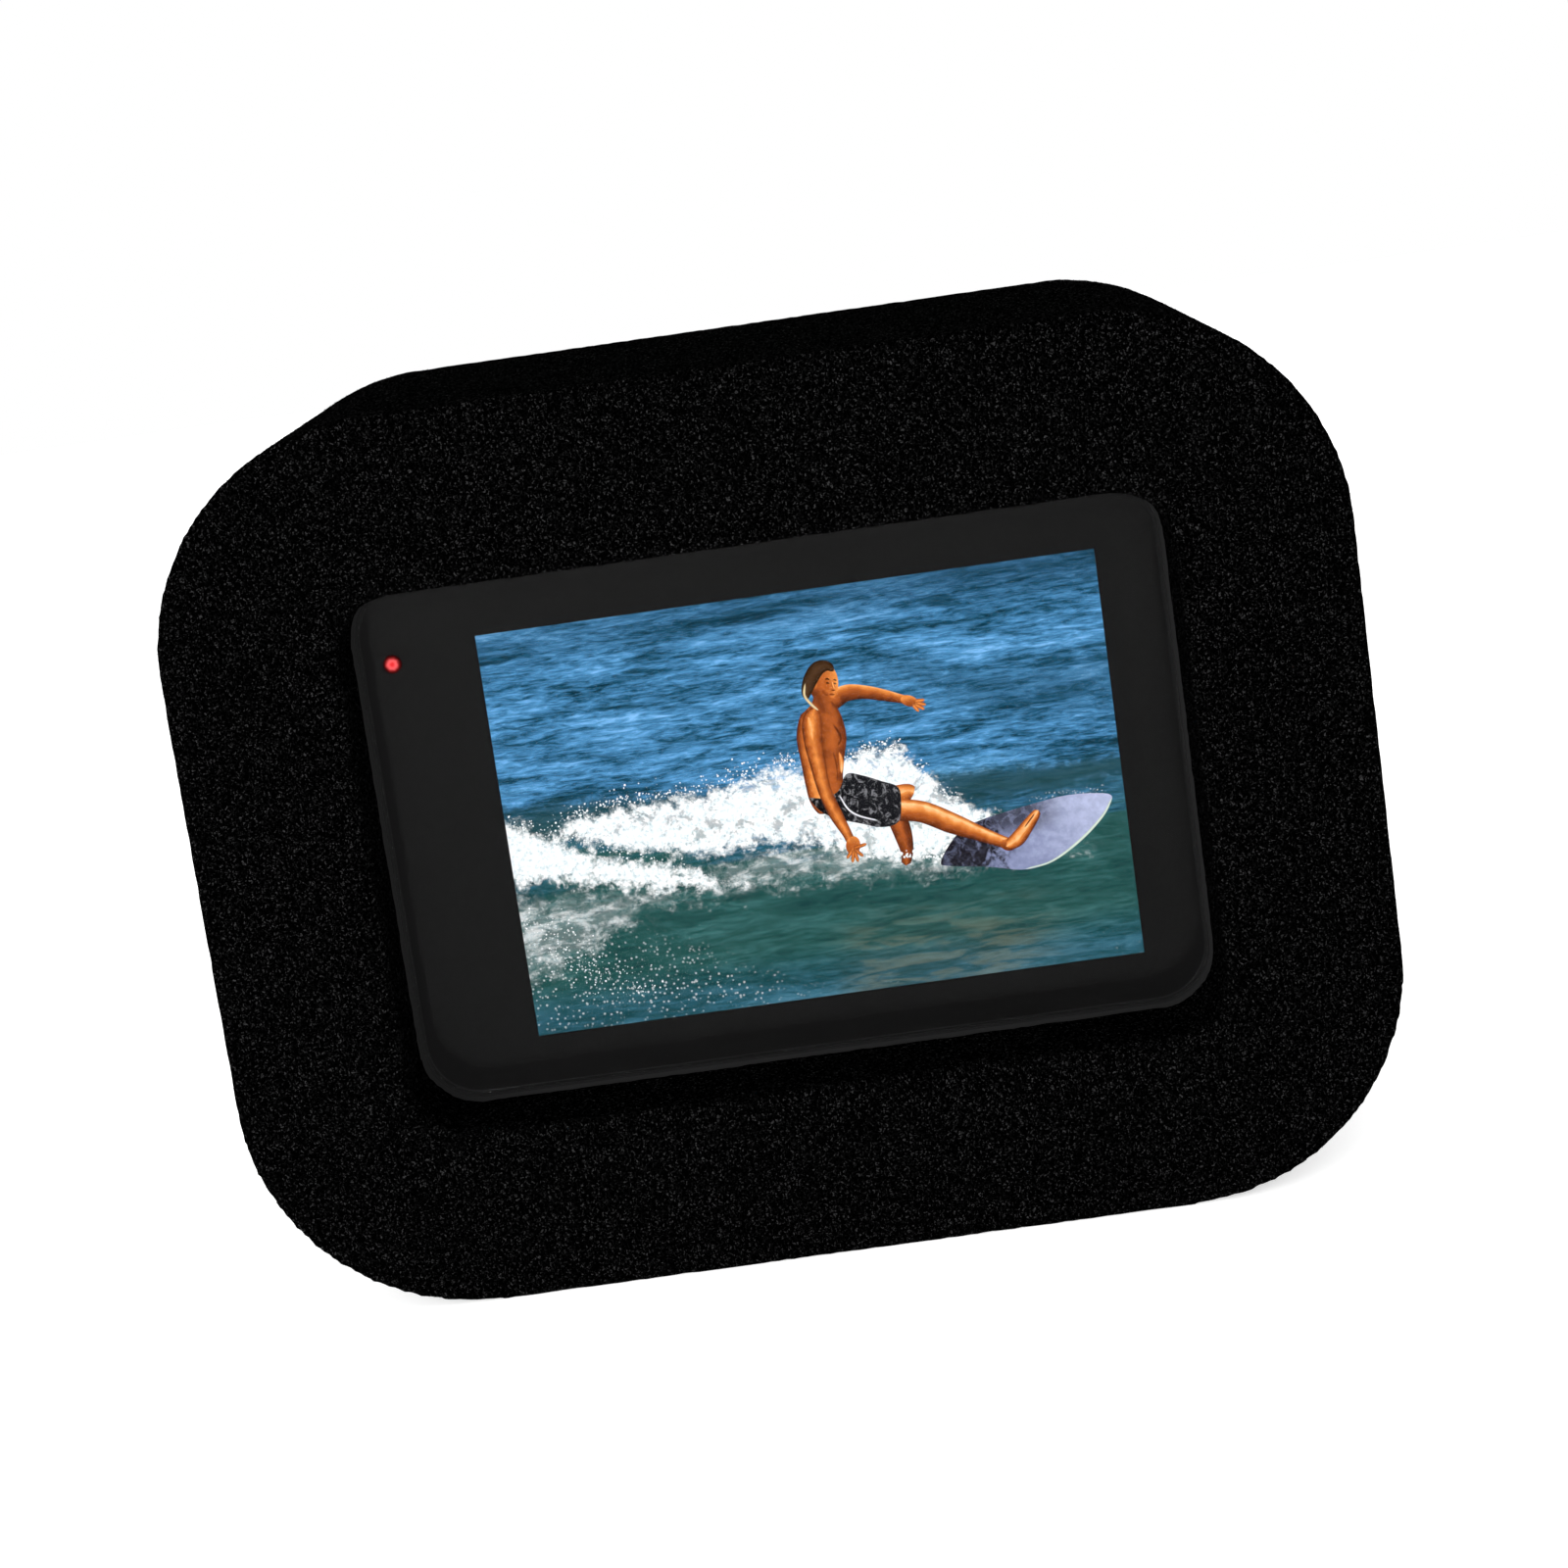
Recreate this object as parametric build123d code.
"""Pocket action camera in a block of soft foam that shields its microphones from wind.

Millimetres. +Z is up, the screen faces -Y and the lens faces +Y. The origin is the middle of
the foam's underside. Limits along an axis are written as pairs, (low, high).
"""

from build123d import *
import math
import os

os.makedirs("parts", exist_ok=True)

# ------------------------------------------------------------------ driving dimensions
# Camera body, without the lens cover that stands in front of it
body_width = 62.3
body_height = 44.9
body_depth = 24.5
body_corner = 4.0
wall = 1.4
edge_round = 1.2

# Foam block: its walls round the body, and its corner seen from behind
foam_side_wall = 8.05
foam_top_wall = 7.6
foam_bottom_wall = 7.6
foam_rear_wall = 8.6
foam_front_wall = 8.5
foam_corner = 15.5
foam_gap = 0.25          # between the foam and the hard body
window_corner = 4.0      # rear window of the foam
access_corner = 2.5      # corners of the cut-outs in front of the two doors

# Rear cover glass and screen
glass_side_border = 3.95   # from the body's sides to the glass
glass_end_border = 4.45    # from the body's top and bottom to the glass
glass_corner = 3.7
glass_thick = 0.75
glass_groove = 0.2         # open joint round the glass
frame_rim = 0.15           # sliver of the rear frame that the foam leaves bare
screen_width = 42.27
screen_height = 28.3
screen_right = 1.78        # screen centre, to the right of the body's middle
screen_down = 0.45         # and below it
screen_edge = 1.6          # border of the screen's module round its picture
led_radius = 0.6
led_side = 2.1             # from the glass's left edge
led_top = 5.35             # from the glass's top edge

# Lens
lens_side = 17.65          # lens axis, from the body's left face
lens_top = 16.9            # and from its top face
cover_size = 25.5
cover_corner = 4.5
cover_proud = 8.2          # lens cover, in front of the body
mount_radius = 11.0
barrel_radius = 8.9

# Doors, latch and buttons
door_thick = 1.8
hinge_radius = 1.2
pin_radius = 0.6
door_travel_latch = 1.4
shutter_width, shutter_depth = 11.8, 7.8
shutter_side = 17.65       # shutter button, from the body's right face
shutter_corner = 3.8
shutter_proud = 0.8
shutter_ring_wall = 1.0
shutter_travel = 0.6
mode_height, mode_depth = 10.0, 6.0
mode_top = 11.5            # mode button, from the body's top face
mode_corner = 2.6
mode_proud = 0.45
mode_travel = 0.5
cap_flange = 1.2           # how far a button's cap reaches under the housing
card_width, card_length, card_thick = 11.0, 15.0, 0.8
card_travel = 0.8
battery_width = 24.0

# Clearances
slip = 0.1                 # round a piece that lies or slides in a pocket
running = 0.06             # radial, lens cover on its mount
pin_fit = 0.05             # radial, hinge pin in the door's barrel
pin_seat = 0.02            # radial, hinge pin in the fixed lugs
door_gap = 0.25            # open joint round each door
face_gap = 0.05            # between a moving flat face and the one that it shuts on

# ------------------------------------------------------------------ places that follow
foam_width = body_width + 2 * foam_side_wall
foam_height = foam_bottom_wall + body_height + foam_top_wall
foam_depth = foam_rear_wall + body_depth + foam_front_wall
foam_rear, foam_front = -foam_depth / 2, foam_depth / 2

left, right = -body_width / 2, body_width / 2
bottom, top = foam_bottom_wall, foam_bottom_wall + body_height
rear, front = foam_rear + foam_rear_wall, foam_front - foam_front_wall
middle = (bottom + top) / 2
in_left, in_right = left + wall, right - wall
in_bottom, in_top = bottom + wall, top - wall
in_front = front - wall

glass_width = body_width - 2 * glass_side_border
glass_height = body_height - 2 * glass_end_border
screen_at = (screen_right, middle - screen_down)
led_at = (led_side - glass_width / 2, middle + glass_height / 2 - led_top)
lens_x, lens_z = left + lens_side, top - lens_top
lens_at = (lens_x, lens_z)

# Rear stack, from the glass inwards
mask_thick, tape_thick = 0.1, 0.1
screen_thick, light_thick, tray_thick = 1.0, 1.0, 0.4
spreader_thick, board_thick = 0.35, 1.0
mask_y = rear + glass_thick
ledge_y = mask_y + mask_thick + tape_thick
screen_y = mask_y + mask_thick
light_y = screen_y + screen_thick
chassis_y = light_y + light_thick
board_rear = rear + 4.0
board_y = (board_rear, board_rear + board_thick)

# Seam between the rear frame and the front housing
frame_y = (rear, rear + 1.5)
seam_seal_y = (frame_y[1], frame_y[1] + 0.4)
skirt_depth, skirt_thick = 0.8, 0.8

# Front stack, from the front face inwards
cover_front = front + cover_proud
mount_front = front + 4.9
flange_thick = 1.0
mount_flange_y = (in_front - flange_thick, in_front)
barrel_flange_y = (mount_flange_y[0] - 1.5, mount_flange_y[0])
barrel_front = front + 4.1
barrel_rear = front - 10.7
sensor_board_y = (barrel_rear - 3.2, barrel_rear - 2.4)
base_y = (sensor_board_y[1], barrel_rear)

# Battery compartment
tray_wall = 0.6
tray_right = in_right - 5.0
tray_x = (tray_right - battery_width - 2 * slip - 2 * tray_wall, tray_right)
tray_y = (board_y[1] + 2.1, in_front - 3.2)
tray_top = in_top - 3.1
switch_gap = 0.1

# Battery door: the hinge runs along its front edge
door_x = (tray_x[0] - 16.8, tray_x[1] + 1.65)
door_rear = rear + 4.0
door_hinge = (front - 3.0, bottom + hinge_radius)     # y, z
door_land = bottom + 2 * hinge_radius + door_gap      # underside of the flange the seal meets
flange_y = (rear + 2.8, front - 1.75)
flange_top = door_land + 0.8
lug_width = 1.8
lug_gap = 0.2

# Card slot, beside the battery
card_x = (tray_x[0] - 3.0 - card_width, tray_x[0] - 3.0)
card_z = (flange_top - 0.45, flange_top - 0.45 + card_length)
socket_wall = 0.3
card_rear = board_y[1] + 0.9
card_y = (card_rear, card_rear + card_thick)

# Side door over the sockets: the hinge stands along its front edge
side_z = (bottom + 5.6, bottom + 26.6)
side_rear = rear + 3.6
side_hinge = (left + hinge_radius, front - 4.7)       # x, y
side_land = left + 2 * hinge_radius + door_gap        # face of the bay that the seal meets
bay_plate = 0.8
socket_front = side_land + 0.2

shutter_at = (right - shutter_side, (rear + front) / 2)
mode_at = ((rear + front) / 2, top - mode_top)


# ------------------------------------------------------------------ shapes
def block(x, y, z):
    """A block between two limits on each axis."""
    centre = [(low + high) / 2 for low, high in (x, y, z)]
    return Pos(*centre) * Box(x[1] - x[0], y[1] - y[0], z[1] - z[0])


def plate_y(width, height, corner, y, at):
    """A plate that faces along Y, with round corners, centred on at = (x, z)."""
    plane = Plane(origin=(at[0], y[0], at[1]), x_dir=(1, 0, 0), z_dir=(0, 1, 0))
    return extrude(plane * RectangleRounded(width, height, corner), y[1] - y[0])


def plate_z(width, depth, corner, z, at):
    """A plate that faces along Z, centred on at = (x, y)."""
    plane = Plane(origin=(at[0], at[1], z[0]), x_dir=(1, 0, 0), z_dir=(0, 0, 1))
    return extrude(plane * RectangleRounded(width, depth, corner), z[1] - z[0])


def plate_x(depth, height, corner, x, at):
    """A plate that faces along X, centred on at = (y, z)."""
    plane = Plane(origin=(x[0], at[0], at[1]), x_dir=(0, 1, 0), z_dir=(1, 0, 0))
    return extrude(plane * RectangleRounded(depth, height, corner), x[1] - x[0])


def rod_y(radius, y, at):
    plane = Plane(origin=(at[0], y[0], at[1]), x_dir=(1, 0, 0), z_dir=(0, 1, 0))
    return extrude(plane * Circle(radius), y[1] - y[0])


def rod_z(radius, z, at):
    return extrude(Plane(origin=(at[0], at[1], z[0])) * Circle(radius), z[1] - z[0])


def rod_x(radius, x, at):
    plane = Plane(origin=(x[0], at[0], at[1]), x_dir=(0, 1, 0), z_dir=(1, 0, 0))
    return extrude(plane * Circle(radius), x[1] - x[0])


def span(pair):
    return pair[1] - pair[0]


def mid(pair):
    return (pair[0] + pair[1]) / 2


def grow(pair, by):
    return (pair[0] - by, pair[1] + by)


def dome(radius, y, sphere_radius, at):
    """A lens element: flat behind, domed towards +Y with its crown at y[1]."""
    ball = Pos(at[0], y[1] - sphere_radius, at[1]) * Sphere(sphere_radius)
    return rod_y(radius, y, at) & ball


# ------------------------------------------------------------------ fasteners
boss_at = {
    "upper_left": (in_left + 4.15, in_top - 3.7),
    "upper_right": (right - 8.55, in_top - 1.4),
    "lower_right": (in_right - 1.35, flange_top + 2.95),
    "lower_left": (card_x[0] - 2.9, flange_top + 3.95),
}
boss_radius = {"upper_left": 1.8, "upper_right": 1.5, "lower_right": 1.2, "lower_left": 1.7}
screw_shank, screw_head, screw_head_thick, screw_length = 0.55, 1.1, 0.55, 6.0
screw_hole = screw_shank + 0.05


def housing_screws():
    screws = []
    for at in boss_at.values():
        head = rod_y(screw_head, (board_y[0] - screw_head_thick, board_y[0]), at)
        slot = block((at[0] - 0.7, at[0] + 0.7), (board_y[0] - screw_head_thick, board_y[0] - 0.3),
                     (at[1] - 0.15, at[1] + 0.15))
        shank = rod_y(screw_shank, (board_y[0], board_y[1] + screw_length), at)
        screws.append(head + shank - slot)
    return Compound(children=screws)


# ------------------------------------------------------------------ housing
def body_plate(inset, y):
    """The body's outline, pulled in by inset."""
    return plate_y(body_width - 2 * inset, body_height - 2 * inset, body_corner - inset, y,
                   (0, middle))


def battery_door_opening(z, gap):
    """The opening in the underside, up to the hinge's far side."""
    front_edge = door_hinge[0] + hinge_radius
    return block(grow(door_x, gap), (door_rear - gap, front_edge + gap), z)


def side_door_opening(x, gap):
    front_edge = side_hinge[1] + hinge_radius
    return block(x, (side_rear - gap, front_edge + gap), grow(side_z, gap))


speaker_x = (in_left + 2.7, in_left + 10.5)
speaker_y = (board_y[1] + 3.4, in_front - 1.9)
speaker_z = (in_bottom + 0.2, in_bottom + 3.7)
top_mic_at = (in_left + 9.75, (rear + front) / 2)      # x, y
front_mic_at = (in_right - 2.75, bottom + 14.4)        # x, z
mic_hole = 0.8
status_width, status_height, status_corner = 20.0, 15.0, 1.5
status_at = (right - 16.65, top - 17.0)
status_ledge = 0.8
front_led_at = (right - 27.3 + 1.0, top - 4.6)
front_led_radius = 0.8
latch_x = (mid(door_x) - 3.0, mid(door_x) + 3.0)
latch_z = (bottom + 0.7, bottom + 1.3)


def front_housing():
    shell = body_plate(0, (seam_seal_y[1], front))
    shell = fillet(shell.faces().sort_by(Axis.Y)[-1].edges(), edge_round)
    shell -= body_plate(wall, (seam_seal_y[1], in_front))
    for name, at in boss_at.items():
        boss = rod_y(boss_radius[name], (board_y[1], in_front), at)
        shell += boss - rod_y(screw_hole, (board_y[1], board_y[1] + screw_length + 0.3), at)
    shell -= rod_y(mount_radius + slip / 2, (in_front, front), lens_at)
    # status display: a seat for the window, and a smaller opening behind it
    seat = (front - 0.9, front)
    shell -= plate_y(status_width, status_height, status_corner, seat, status_at)
    shell -= plate_y(status_width - 2 * status_ledge, status_height - 2 * status_ledge,
                     status_corner / 2, (in_front, front), status_at)
    shell -= rod_y(front_led_radius + slip / 2, (in_front, front), front_led_at)
    shell -= rod_y(mic_hole, (in_front, front), front_mic_at)
    shell -= rod_z(mic_hole, (in_top, top), top_mic_at)
    # buttons
    shell -= plate_z(shutter_width + 2 * (slip + shutter_ring_wall),
                     shutter_depth + 2 * (slip + shutter_ring_wall),
                     shutter_corner + shutter_ring_wall, (in_top, top), shutter_at)
    shell -= plate_x(mode_depth + 2 * slip, mode_height + 2 * slip, mode_corner,
                     (in_right, right), mode_at)
    # doors, with a slot in the underside for the latch's tongue
    shell -= battery_door_opening((bottom, in_bottom), door_gap)
    shell -= block(grow(latch_x, 0.2), (door_rear - door_gap - door_travel_latch, door_rear),
                   (latch_z[0] - 0.15, in_bottom))
    shell -= side_door_opening((left, in_left), door_gap)
    # sound holes under the speaker
    for column in range(3):
        for row in range(3):
            hole_at = (speaker_x[0] + 1.9 + 2.0 * column, mid(speaker_y) - 2.4 + 2.4 * row)
            shell -= rod_z(0.45, (bottom, in_bottom), hole_at)
    return shell


def rear_frame():
    frame = body_plate(0, frame_y)
    frame = fillet(frame.faces().sort_by(Axis.Y)[0].edges(), edge_round)
    skirt_y = (frame_y[1], frame_y[1] + skirt_depth)
    frame += body_plate(wall + slip, skirt_y) - body_plate(wall + slip + skirt_thick, skirt_y)
    frame -= plate_y(glass_width + 2 * glass_groove, glass_height + 2 * glass_groove,
                     glass_corner + glass_groove, (rear, ledge_y), (0, middle))
    frame -= plate_y(screen_width + 2 * screen_edge + 2 * tray_thick + 0.8,
                     screen_height + 2 * screen_edge + 2 * tray_thick + 0.8, 1.0,
                     frame_y, screen_at)
    frame -= rod_y(led_radius + 0.3, frame_y, led_at)
    return frame


def seam_seal():
    return body_plate(0.3, seam_seal_y) - body_plate(wall - 0.3, seam_seal_y)


# ------------------------------------------------------------------ screen
def display_cover_glass():
    glass = plate_y(glass_width, glass_height, glass_corner, (rear, mask_y), (0, middle))
    glass = chamfer(glass.faces().sort_by(Axis.Y)[0].edges(), 0.12)
    return glass - rod_y(led_radius + face_gap, (rear, mask_y), led_at)


def display_mask():
    mask_y_limits = (mask_y, mask_y + mask_thick)
    mask = plate_y(glass_width - 0.2, glass_height - 0.2, glass_corner, mask_y_limits, (0, middle))
    mask -= block((screen_at[0] - screen_width / 2, screen_at[0] + screen_width / 2), mask_y_limits,
                  (screen_at[1] - screen_height / 2, screen_at[1] + screen_height / 2))
    return mask - rod_y(led_radius + face_gap, mask_y_limits, led_at)


def glass_adhesive():
    y = (ledge_y - tape_thick, ledge_y)
    tape = plate_y(glass_width - 0.6, glass_height - 0.6, glass_corner, y, (0, middle))
    tape -= plate_y(screen_width + 2 * screen_edge + 2 * tray_thick + 1.0,
                    screen_height + 2 * screen_edge + 2 * tray_thick + 1.0, 1.0, y, screen_at)
    return tape - rod_y(led_radius + 0.3, y, led_at)


def screen_plate(y, border=0.0):
    width = screen_width + 2 * screen_edge + 2 * border
    height = screen_height + 2 * screen_edge + 2 * border
    return plate_y(width, height, 0.5 + border, y, screen_at)


def screen_chassis():
    tray = screen_plate((light_y - 0.3, chassis_y + tray_thick), tray_thick)
    return tray - screen_plate((light_y - 0.3, chassis_y), face_gap / 2)


flex_x = (tray_x[0] + 0.4, tray_x[0] + 12.4)


def display_flex():
    """A ribbon from behind the screen, round the lower edge of the main board."""
    thick = 0.15
    behind = chassis_y + tray_thick
    edge = board_z[0] - 0.1 - thick
    ribbon = block(flex_x, (behind, behind + thick), (edge, edge + 8.0))
    ribbon += block(flex_x, (behind, board_y[1] + thick), (edge, edge + thick))
    ribbon += block(flex_x, (board_y[1], board_y[1] + thick), (edge, edge + 2.4))
    return ribbon


def rear_led_lens():
    return rod_y(led_radius, (rear, ledge_y + 0.4), led_at)


def rear_led():
    half = led_radius
    return block((led_at[0] - half, led_at[0] + half), (ledge_y + 0.4, board_y[0]),
                 (led_at[1] - half, led_at[1] + half))


# ------------------------------------------------------------------ boards
board_x = (side_land + bay_plate + 0.2, in_right - 0.75)
board_z = (flange_top + 1.45, in_top - 1.6)
chip_list = (
    # x from the tray's left wall, z from the board's lower edge, width, height, thickness
    (2.0, 26.0, 7.0, 5.0, 0.9),
    (16.0, 5.0, 6.0, 8.0, 1.1),
    (18.0, 28.0, 6.5, 4.5, 0.8),
    (3.0, 4.0, 4.0, 3.0, 0.7),
)


def main_board():
    board = block(board_x, board_y, board_z)
    for at in boss_at.values():
        board -= rod_y(screw_hole + 0.1, board_y, at)
    return board


def board_chips():
    chips = []
    for from_left, from_bottom, width, height, thick in chip_list:
        x0, z0 = tray_x[0] + from_left, board_z[0] + from_bottom
        chips.append(block((x0, x0 + width), (board_y[1], board_y[1] + thick), (z0, z0 + height)))
    return Compound(children=chips)


can_x = (tray_x[0] + 2.0, tray_x[0] + 14.0)
can_z = (board_z[0] + 11.0, board_z[0] + 23.0)
can_thick, can_sheet = 1.5, 0.2


def processor():
    return block(grow(can_x, -1.5), (board_y[1], board_y[1] + 1.0), grow(can_z, -1.5))


def shield_can():
    y = (board_y[1], board_y[1] + can_thick)
    inside = block(grow(can_x, -can_sheet), (y[0], y[1] - can_sheet), grow(can_z, -can_sheet))
    return block(can_x, y, can_z) - inside


def heat_spreader():
    spread_y = (board_y[0] - spreader_thick, board_y[0])
    sheet = block(grow(board_x, -1.0), spread_y, grow(board_z, -0.5))
    for at in boss_at.values():
        sheet -= rod_y(screw_head + 0.3, spread_y, at)
    sheet -= block((led_at[0] - 1.2, led_at[0] + 1.2), spread_y, (led_at[1] - 1.2, led_at[1] + 1.2))
    return sheet - block(grow(flex_x, 0.3), spread_y, (board_z[0], board_z[0] + 1.0))


# ------------------------------------------------------------------ lens
front_seat = barrel_front - 3.0
middle_seat = barrel_front - 9.0
rear_seat = barrel_front - 13.2
front_radius, middle_radius, back_radius = 8.0, 5.6, 4.4
filter_size = (10.0, 8.5)
base_size = 19.0


def lens_mount_ring():
    ring = rod_y(mount_radius, (mount_flange_y[0], mount_front), lens_at)
    ring += rod_y(mount_radius + 1.4, mount_flange_y, lens_at)
    return ring - rod_y(barrel_radius + slip / 2, (mount_flange_y[0], mount_front), lens_at)


def lens_barrel():
    barrel = rod_y(barrel_radius, (barrel_rear, barrel_front), lens_at)
    barrel += rod_y(barrel_radius + 1.6, barrel_flange_y, lens_at)
    barrel += plate_y(base_size, base_size, 1.0, base_y, lens_at)
    # stepped bore, wider towards the front, each step the seat of one element
    barrel -= rod_y(back_radius - 0.8, (barrel_rear - 0.6, barrel_front), lens_at)
    barrel -= rod_y(back_radius + face_gap, (rear_seat, barrel_front), lens_at)
    barrel -= rod_y(middle_radius + face_gap, (middle_seat, barrel_front), lens_at)
    barrel -= rod_y(front_radius + face_gap, (front_seat, barrel_front), lens_at)
    # the filter's pocket, and the larger one of the sensor behind it
    barrel -= plate_y(filter_size[0] + slip, filter_size[1] + slip, 0.3,
                      (base_y[0], barrel_rear - 0.6), lens_at)
    return barrel - plate_y(13.0, 11.0, 0.5, (base_y[0], base_y[0] + 1.4), lens_at)


def lens_trim_ring():
    ring = rod_y(barrel_radius, (barrel_front, barrel_front + 0.7), lens_at)
    hole = Plane(origin=(lens_x, barrel_front, lens_z), x_dir=(1, 0, 0), z_dir=(0, 1, 0))
    taper = loft([hole * Circle(6.6), hole.offset(0.7) * Circle(7.5)])
    return ring - taper


def ir_filter():
    return plate_y(filter_size[0], filter_size[1], 0.3, (barrel_rear - 1.0, barrel_rear - 0.6),
                   lens_at)


def image_sensor():
    return plate_y(9.0, 7.5, 0.4, (base_y[0], base_y[0] + 1.0), lens_at)


def sensor_board():
    return plate_y(base_size + 1.0, base_size + 1.0, 1.0, sensor_board_y, lens_at)


# ------------------------------------------------------------------ lens cover
cover_web_y = (cover_front - 2.5, cover_front - 1.6)
cover_glass_size = 20.8
cover_glass_corner = 2.9


def lens_cover_frame():
    shell = plate_y(cover_size, cover_size, cover_corner, (front + face_gap, cover_front), lens_at)
    shell = fillet(shell.faces().sort_by(Axis.Y)[-1].edges(), 0.8)
    shell -= rod_y(mount_radius + running, (front + face_gap, cover_web_y[0]), lens_at)
    shell -= rod_y(9.4, cover_web_y, lens_at)
    shell -= plate_y(cover_glass_size + 2 * slip, cover_glass_size + 2 * slip,
                     cover_glass_corner + slip, (cover_web_y[1], cover_front), lens_at)
    # finger grooves down both sides
    for side in (-1, 1):
        for step in range(-3, 4):
            centre = lens_x + side * cover_size / 2
            shell -= block((centre - 0.3, centre + 0.3), (front + 1.2, cover_front - 1.6),
                           (lens_z + 2.0 * step - 0.4, lens_z + 2.0 * step + 0.4))
    return shell


def lens_cover_glass():
    glass = plate_y(cover_glass_size, cover_glass_size, cover_glass_corner,
                    (cover_web_y[1], cover_front - 0.2), lens_at)
    return chamfer(glass.faces().sort_by(Axis.Y)[-1].edges(), 0.25)


def lens_cover_seal():
    y = (mount_front + face_gap, cover_web_y[0])
    return rod_y(mount_radius, y, lens_at) - rod_y(9.6, y, lens_at)


# ------------------------------------------------------------------ status display and light
def status_window():
    return plate_y(status_width - 2 * slip, status_height - 2 * slip, status_corner - slip,
                   (front - 0.9, front - 0.05), status_at)


def status_display():
    return plate_y(status_width - 1.0, status_height - 1.0, 0.5, (in_front - 1.6, in_front),
                   status_at)


def front_led_lens():
    pipe = rod_y(front_led_radius, (in_front, front), front_led_at)
    return pipe + rod_y(front_led_radius + 0.5, (in_front - 0.8, in_front), front_led_at)


# ------------------------------------------------------------------ buttons
def shutter_button_ring():
    z = (in_top + 0.2, top + 0.2)
    outer = plate_z(shutter_width + 2 * (slip + shutter_ring_wall) - 0.1,
                    shutter_depth + 2 * (slip + shutter_ring_wall) - 0.1,
                    shutter_corner - 0.05 + shutter_ring_wall, z, shutter_at)
    return outer - plate_z(shutter_width + 2 * slip, shutter_depth + 2 * slip, shutter_corner,
                           z, shutter_at)


def shutter_button_cap():
    cap = plate_z(shutter_width, shutter_depth, shutter_corner - slip,
                  (in_top - 0.8, top + shutter_proud), shutter_at)
    cap = fillet(cap.faces().sort_by(Axis.Z)[-1].edges(), 0.4)
    return cap + plate_z(shutter_width + 2 * cap_flange, shutter_depth + 2 * cap_flange, 4.7,
                         (in_top - 0.8, in_top - 0.1), shutter_at)


def shutter_switch():
    plunger_top = in_top - 0.8 - shutter_travel - switch_gap
    base = block((shutter_at[0] - 3.0, shutter_at[0] + 3.0), (shutter_at[1] - 2.2,
                 shutter_at[1] + 2.2), (tray_top, plunger_top - 0.6))
    return base + rod_z(1.2, (plunger_top - 0.6, plunger_top), shutter_at)


def mode_button_cap():
    cap = plate_x(mode_depth, mode_height, mode_corner - slip, (in_right - 0.7, right + mode_proud),
                  mode_at)
    cap = fillet(cap.faces().sort_by(Axis.X)[-1].edges(), 0.3)
    return cap + plate_x(mode_depth + 1.6, mode_height + 1.6, mode_corner, (in_right - 0.8,
                         in_right - 0.1), mode_at)


def mode_switch():
    tip = in_right - 0.8 - mode_travel - switch_gap
    base = block((tray_x[1], tip - 0.4), (mode_at[0] - 2.0, mode_at[0] + 2.0),
                 (mode_at[1] - 2.5, mode_at[1] + 2.5))
    return base + rod_x(1.0, (tip - 0.4, tip), mode_at)


# ------------------------------------------------------------------ battery door and battery
barrel_x = (door_x[0] + lug_width + 2 * lug_gap, door_x[1] - lug_width - 2 * lug_gap)


def battery_door():
    z = (bottom, bottom + door_thick)
    hinge_edge = door_hinge[0] - hinge_radius - lug_gap
    door = block(door_x, (door_rear, hinge_edge), z)
    door = fillet(door.edges().filter_by(Axis.Z).group_by(Axis.Y)[0], 1.5)
    door += block(barrel_x, (hinge_edge, door_hinge[0]), z)
    door += rod_x(hinge_radius, barrel_x, door_hinge)
    door -= rod_x(pin_radius + pin_fit, barrel_x, door_hinge)
    # the latch's thumb recess, and the channel that its tongue slides in
    door -= block(grow(latch_x, 1.0), (door_rear + 1.0, door_rear + 6.6), (bottom, bottom + 0.65))
    return door - block(grow(latch_x, 0.2), (door_rear, door_rear + 6.6),
                        (bottom + 0.65, latch_z[1] + 0.1))


def battery_door_latch():
    pad_y = (door_rear + 2.6, door_rear + 6.4)
    latch = block(grow(latch_x, 0.8), pad_y, (bottom + 0.1, bottom + 0.6))
    latch += block(latch_x, pad_y, (bottom + 0.6, latch_z[0]))
    latch += block(latch_x, (door_rear + 0.2, pad_y[1]), latch_z)
    for step in range(3):
        y0 = pad_y[0] + 0.6 + 1.1 * step
        latch += block(grow(latch_x, 0.2), (y0, y0 + 0.5), (bottom - 0.15, bottom + 0.1))
    return latch


def battery_door_seal():
    z = (bottom + door_thick, door_land - face_gap)
    outer_y = (door_rear + 0.3, door_hinge[0] - hinge_radius - 0.15)
    outer_x = (door_x[0] + 0.6, door_x[1] - 0.7)
    ring = plate_z(span(outer_x), span(outer_y), 1.5, z, (mid(outer_x), mid(outer_y)))
    return ring - plate_z(span(outer_x) - 1.6, span(outer_y) - 1.6, 0.7, z,
                          (mid(outer_x), mid(outer_y)))


def battery_door_pin():
    return rod_x(pin_radius, (door_x[0] + 0.2, door_x[1] - 0.2), door_hinge)


def battery_inside(gap):
    """The limits of the battery's pocket, or of the battery with a gap."""
    x = (tray_x[0] + tray_wall + gap, tray_x[1] - tray_wall - gap)
    y = (tray_y[0] + tray_wall + gap, tray_y[1] - tray_wall - gap)
    return x, y


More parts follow.
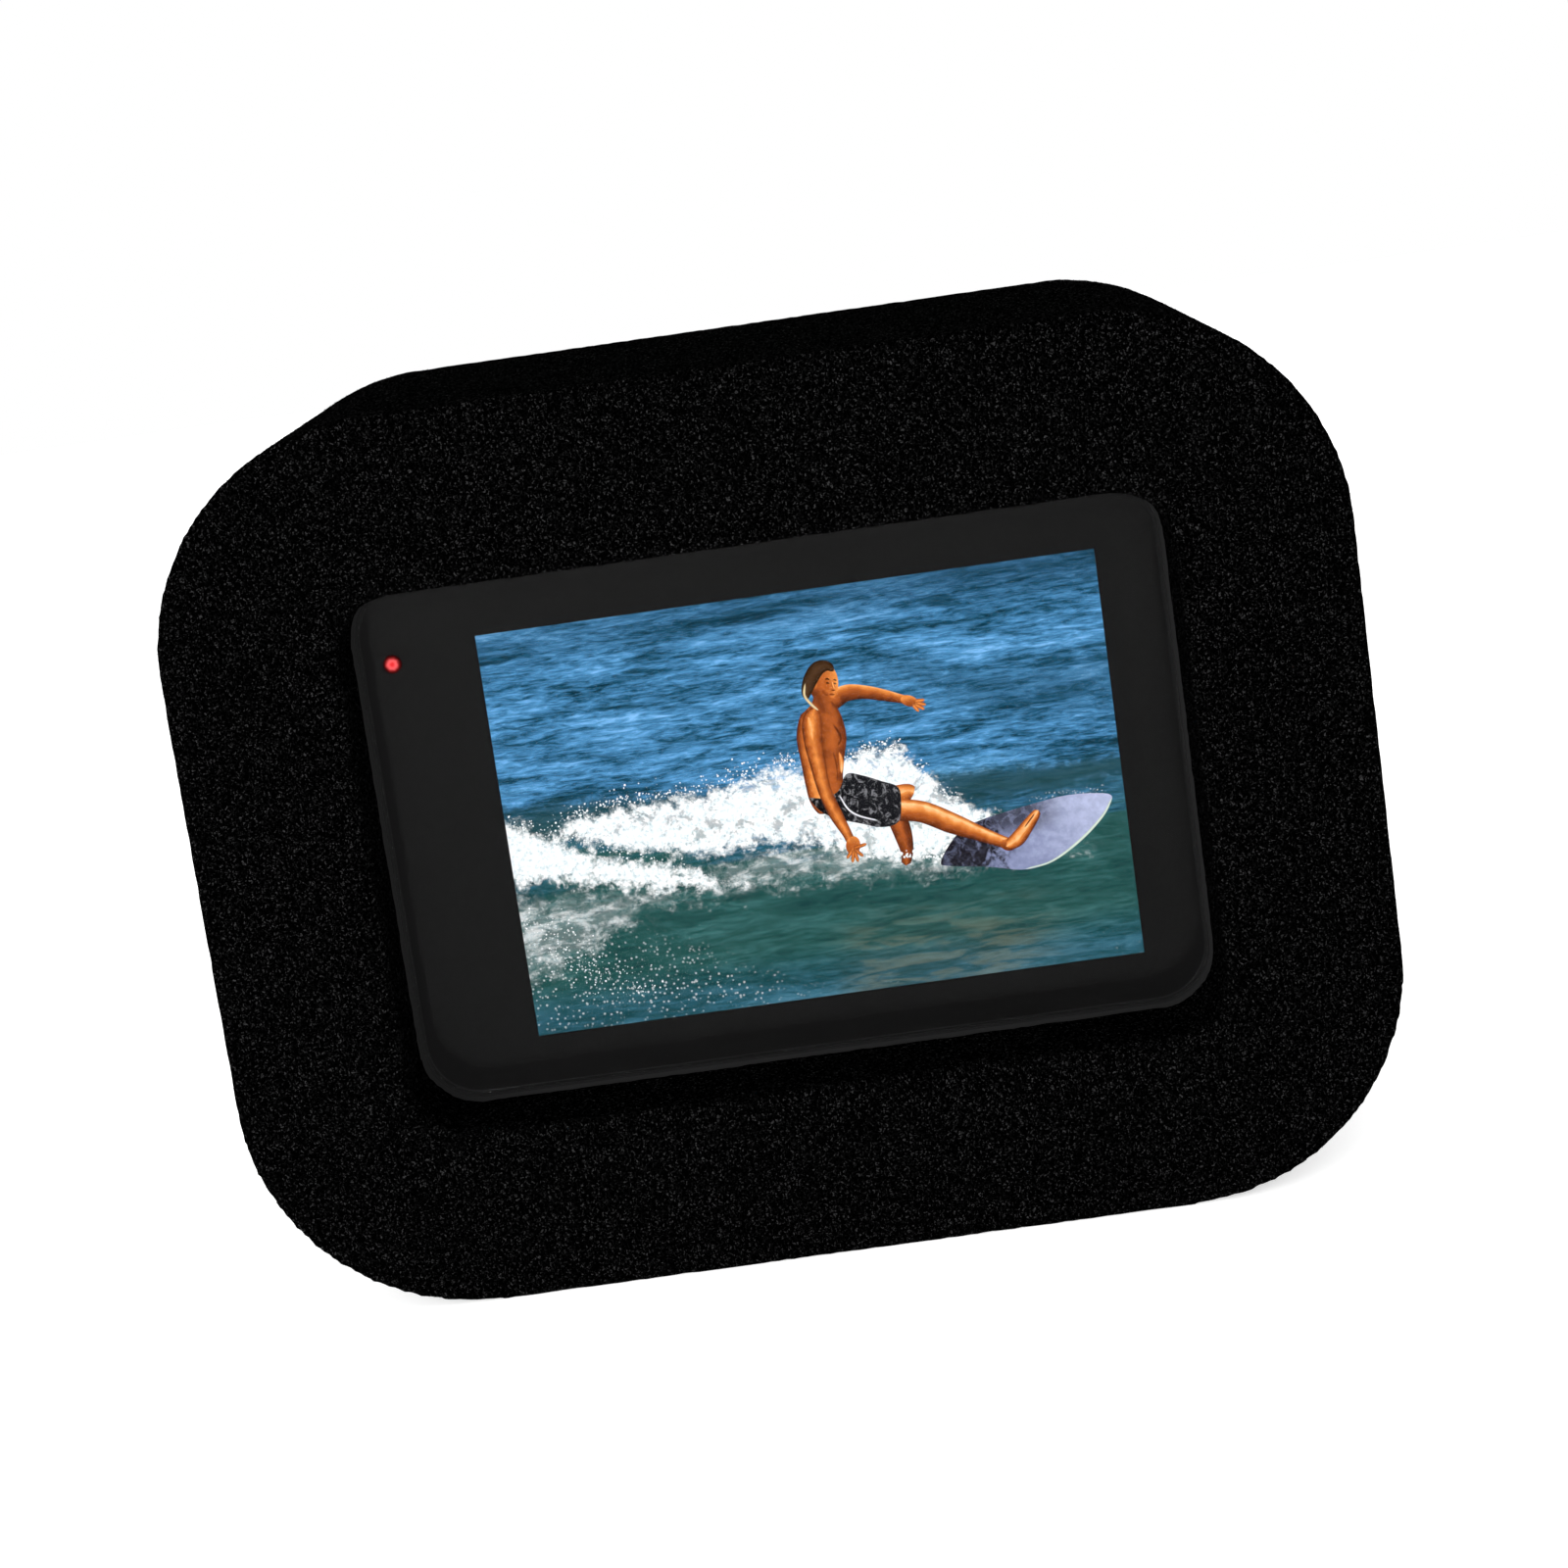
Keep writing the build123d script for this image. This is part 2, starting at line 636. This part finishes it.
def battery_tray():
    flange_x = (door_x[0] - 0.6, door_x[1] + 0.6)
    tray = block(flange_x, flange_y, (door_land, flange_top))
    tray += block(tray_x, tray_y, (flange_top, tray_top))
    x, y = battery_inside(0)
    tray -= block(x, y, (door_land, tray_top - tray_wall))
    tray -= block(grow(card_x, 0.4), grow(card_y, 0.4), (door_land, flange_top))
    # side skirts down to the underside's inner face, and lugs for the hinge pin
    for edge in ((flange_x[0], flange_x[0] + 0.3), (flange_x[1] - 0.3, flange_x[1])):
        tray += block(edge, flange_y, (in_bottom, door_land))
    for low in (door_x[0] + lug_gap, door_x[1] - lug_gap - lug_width):
        x = (low, low + lug_width)
        lug = rod_x(hinge_radius, x, door_hinge)
        lug += block(x, (door_hinge[0] - hinge_radius, door_hinge[0] + hinge_radius),
                     (door_hinge[1], door_land))
        tray += lug - rod_x(pin_radius + pin_seat, x, door_hinge)
    return tray


battery_z = (flange_top + 0.15, tray_top - tray_wall - 1.2)
contact_x = (mid(tray_x) - 5.0, mid(tray_x) + 5.0)
contact_y = (mid(tray_y) - 2.0, mid(tray_y) + 2.0)
contact_z = (battery_z[1] - 0.9, tray_top - tray_wall)


def battery():
    x, y = battery_inside(slip)
    cell = block(x, y, battery_z)
    cell = fillet(cell.edges().filter_by(Axis.Z), 1.0)
    return cell - block(grow(contact_x, 0.5), grow(contact_y, 0.5),
                        (contact_z[0] - 0.1, battery_z[1]))


def battery_contacts():
    base = block(contact_x, contact_y, (contact_z[0] + 0.6, contact_z[1]))
    for step in range(4):
        x0 = contact_x[0] + 0.9 + 2.4 * step
        base += block((x0, x0 + 1.0), grow(contact_y, -0.8), (contact_z[0], contact_z[0] + 0.6))
    return base


def battery_pull_tab():
    x, y = battery_inside(1.5)
    thick = 0.3
    return block((mid(x) - 5.0, mid(x) + 5.0), y, (battery_z[0] - thick, battery_z[0]))


# ------------------------------------------------------------------ memory card
socket_x = grow(card_x, 0.9)
socket_y = (board_y[1], card_y[1] + socket_wall)
socket_z = (flange_top + 0.15, card_z[1] + card_travel + 0.8)


def microsd_card():
    card = block(card_x, card_y, card_z)
    notch = block((card_x[1] - 1.4, card_x[1]), card_y, (card_z[0] + 6.0, card_z[1]))
    return card - notch


def microsd_socket():
    socket = block(socket_x, socket_y, socket_z)
    slot_z = (socket_z[0], card_z[1] + card_travel + slip)
    return socket - block(grow(card_x, slip), grow(card_y, slip), slot_z)


# ------------------------------------------------------------------ side door and sockets
usb_z = (side_z[1] - 11.8, side_z[1] - 2.8)
hdmi_z = (side_z[0] + 1.8, side_z[0] + 8.4)
socket_depth = 7.5
usb_thick, hdmi_thick = 3.2, 3.0
side_barrel_z = (side_z[0] + 0.4 + lug_width + 2 * lug_gap,
                 side_z[1] - 0.4 - lug_width - 2 * lug_gap)


def side_door():
    x = (left, left + door_thick)
    hinge_edge = side_hinge[1] - hinge_radius - lug_gap
    door = block(x, (side_rear, hinge_edge), side_z)
    door = fillet(door.edges().filter_by(Axis.X).group_by(Axis.Y)[0], 1.5)
    door += block(x, (hinge_edge, side_hinge[1]), side_barrel_z)
    door += rod_z(hinge_radius, side_barrel_z, side_hinge)
    door -= rod_z(pin_radius + pin_fit, side_barrel_z, side_hinge)
    # shallow scoop for a fingernail
    scoop = Pos(left - 2.2, side_rear + 1.8, mid(side_z)) * Sphere(3.0)
    return door - scoop


def side_door_seal():
    x = (left + door_thick, side_land - face_gap)
    outer_y = (side_rear + 0.35, side_hinge[1] - hinge_radius - 0.4)
    outer_z = grow(side_z, -0.5)
    at = (mid(outer_y), mid(outer_z))
    ring = plate_x(span(outer_y), span(outer_z), 1.5, x, at)
    return ring - plate_x(span(outer_y) - 1.6, span(outer_z) - 1.6, 0.7, x, at)


def side_door_pin():
    return rod_z(pin_radius, grow(side_barrel_z, lug_width + lug_gap - 0.2), side_hinge)


def port_bay():
    """The floor behind the side door, with its rim, hinge lugs and openings for the sockets."""
    pocket_y = (side_rear - 0.45, side_hinge[1] + hinge_radius + 0.45)
    pocket_z = grow(side_z, 0.45)
    bay = block((in_left, side_land + bay_plate), grow(pocket_y, 0.8), grow(pocket_z, 0.8))
    bay -= block((in_left, side_land), pocket_y, pocket_z)
    for low in (side_barrel_z[0] - lug_gap - lug_width, side_barrel_z[1] + lug_gap):
        z = (low, low + lug_width)
        lug = rod_z(hinge_radius, z, side_hinge)
        lug += block((side_hinge[0], side_land), (side_hinge[1] - hinge_radius,
                     side_hinge[1] + hinge_radius), z)
        bay += lug - rod_z(pin_radius + pin_seat, z, side_hinge)
    floor = (side_land, side_land + bay_plate)
    for z, thick in ((usb_z, usb_thick), (hdmi_z, hdmi_thick)):
        bay -= block(floor, grow((board_y[1], board_y[1] + thick), 0.15), grow(z, 0.15))
    return bay


def socket_shell(z, thick, corner, tongue):
    """A metal connector socket with its mouth towards -X and a tongue inside."""
    x = (socket_front, socket_front + socket_depth)
    y = (board_y[1], board_y[1] + thick)
    at = (mid(y), mid(z))
    shell = plate_x(thick, span(z), corner, x, at)
    shell -= plate_x(thick - 0.7, span(z) - 0.7, corner - 0.3, (x[0], x[1] - 0.8), at)
    return shell + block((x[0] + 0.8, x[1] - 0.8), (mid(y) - tongue, mid(y) + tongue),
                         grow(z, -1.3))


# ------------------------------------------------------------------ sound and radio
def speaker():
    can = block(speaker_x, speaker_y, (speaker_z[0] + 0.6, speaker_z[1]))
    cone = plate_z(span(speaker_x) - 1.0, span(speaker_y) - 1.0, 2.0,
                   (speaker_z[0], speaker_z[0] + 0.6), (mid(speaker_x), mid(speaker_y)))
    return can + cone


def speaker_mesh():
    return block(speaker_x, speaker_y, (in_bottom, in_bottom + 0.2))


def microphones():
    upper = block((top_mic_at[0] - 1.9, top_mic_at[0] + 1.9), (top_mic_at[1] - 1.4,
                  top_mic_at[1] + 1.4), (in_top - 1.2, in_top - 0.2))
    lower = block((front_mic_at[0] - 1.4, front_mic_at[0] + 1.4), (in_front - 1.2, in_front - 0.2),
                  (front_mic_at[1] - 1.9, front_mic_at[1] + 1.9))
    return Compound(children=[upper, lower])


def microphone_meshes():
    upper = rod_z(mic_hole + 0.5, (in_top - 0.2, in_top), top_mic_at)
    lower = rod_y(mic_hole + 0.5, (in_front - 0.2, in_front), front_mic_at)
    return Compound(children=[upper, lower])


def antenna():
    y = (rear + 6.2, rear + 9.2)
    return block((lens_x + 5.5, lens_x + 17.5), y, (in_top - 0.8, in_top))


# ------------------------------------------------------------------ foam
def foam_windscreen():
    foam = plate_y(foam_width, foam_height, foam_corner, (foam_rear, foam_front),
                   (0, foam_height / 2))
    foam -= body_plate(-foam_gap, (rear - slip, front + foam_gap))
    # rear window, round lens hole that lets the square cover turn
    foam -= plate_y(glass_width + 2 * (glass_groove + frame_rim),
                    glass_height + 2 * (glass_groove + frame_rim), window_corner,
                    (foam_rear, rear), (0, middle))
    half_diagonal = cover_size / math.sqrt(2) - cover_corner * (math.sqrt(2) - 1)
    foam -= rod_y(half_diagonal + 0.5, (front, foam_front), lens_at)
    # room round the two buttons
    foam -= plate_z(shutter_width + 3.2, shutter_depth + 3.2, 4.0, (top, top + shutter_proud + 1.3),
                    shutter_at)
    foam -= plate_x(mode_depth + 3.0, mode_height + 3.0, 3.0, (right, right + mode_proud + 1.4), mode_at)
    # cut-outs in front of the two doors
    access_x = grow(door_x, 1.5)
    access_y = (door_rear - 1.2, door_hinge[0] + hinge_radius + 1.1)
    foam -= plate_z(span(access_x), span(access_y), access_corner, (0, bottom),
                    (mid(access_x), mid(access_y)))
    access_y = (side_rear - 1.4, side_hinge[1] + hinge_radius + 1.4)
    foam -= plate_x(span(access_y), span(side_z) + 2.8, access_corner, (-foam_width / 2, left),
                    (mid(access_y), mid(side_z)))
    return foam


# ------------------------------------------------------------------ write
parts = {
    "foam_windscreen": foam_windscreen(),
    "front_housing": front_housing(),
    "rear_frame": rear_frame(),
    "seam_seal": seam_seal(),
    "housing_screws": housing_screws(),
    "display_cover_glass": display_cover_glass(),
    "display_mask": display_mask(),
    "glass_adhesive": glass_adhesive(),
    "lcd_panel": screen_plate((screen_y, light_y)),
    "lcd_backlight": screen_plate((light_y, chassis_y)),
    "screen_chassis": screen_chassis(),
    "display_flex": display_flex(),
    "rear_led_lens": rear_led_lens(),
    "rear_led": rear_led(),
    "main_board": main_board(),
    "board_chips": board_chips(),
    "processor": processor(),
    "shield_can": shield_can(),
    "heat_spreader": heat_spreader(),
    "lens_mount_ring": lens_mount_ring(),
    "lens_barrel": lens_barrel(),
    "lens_trim_ring": lens_trim_ring(),
    "lens_front_element": dome(front_radius, (front_seat, front_seat + 4.0), 14.5, lens_at),
    "lens_middle_element": dome(middle_radius, (middle_seat, middle_seat + 2.2), 12.0, lens_at),
    "lens_rear_element": dome(back_radius, (rear_seat, rear_seat + 2.4), 8.0, lens_at),
    "ir_filter": ir_filter(),
    "image_sensor": image_sensor(),
    "sensor_board": sensor_board(),
    "lens_cover_frame": lens_cover_frame(),
    "lens_cover_glass": lens_cover_glass(),
    "lens_cover_seal": lens_cover_seal(),
    "status_window": status_window(),
    "status_display": status_display(),
    "front_led_lens": front_led_lens(),
    "shutter_button_ring": shutter_button_ring(),
    "shutter_button_cap": shutter_button_cap(),
    "shutter_switch": shutter_switch(),
    "mode_button_cap": mode_button_cap(),
    "mode_switch": mode_switch(),
    "battery_door": battery_door(),
    "battery_door_seal": battery_door_seal(),
    "battery_door_pin": battery_door_pin(),
    "battery_door_latch": battery_door_latch(),
    "battery_tray": battery_tray(),
    "battery": battery(),
    "battery_contacts": battery_contacts(),
    "battery_pull_tab": battery_pull_tab(),
    "microsd_card": microsd_card(),
    "microsd_socket": microsd_socket(),
    "side_door": side_door(),
    "side_door_seal": side_door_seal(),
    "side_door_pin": side_door_pin(),
    "port_bay": port_bay(),
    "usb_c_socket": socket_shell(usb_z, usb_thick, 1.5, 0.35),
    "micro_hdmi_socket": socket_shell(hdmi_z, hdmi_thick, 0.8, 0.3),
    "speaker": speaker(),
    "speaker_mesh": speaker_mesh(),
    "microphones": microphones(),
    "microphone_meshes": microphone_meshes(),
    "antenna": antenna(),
}

for name, shape in parts.items():
    export_step(shape, f"parts/{name}.step")
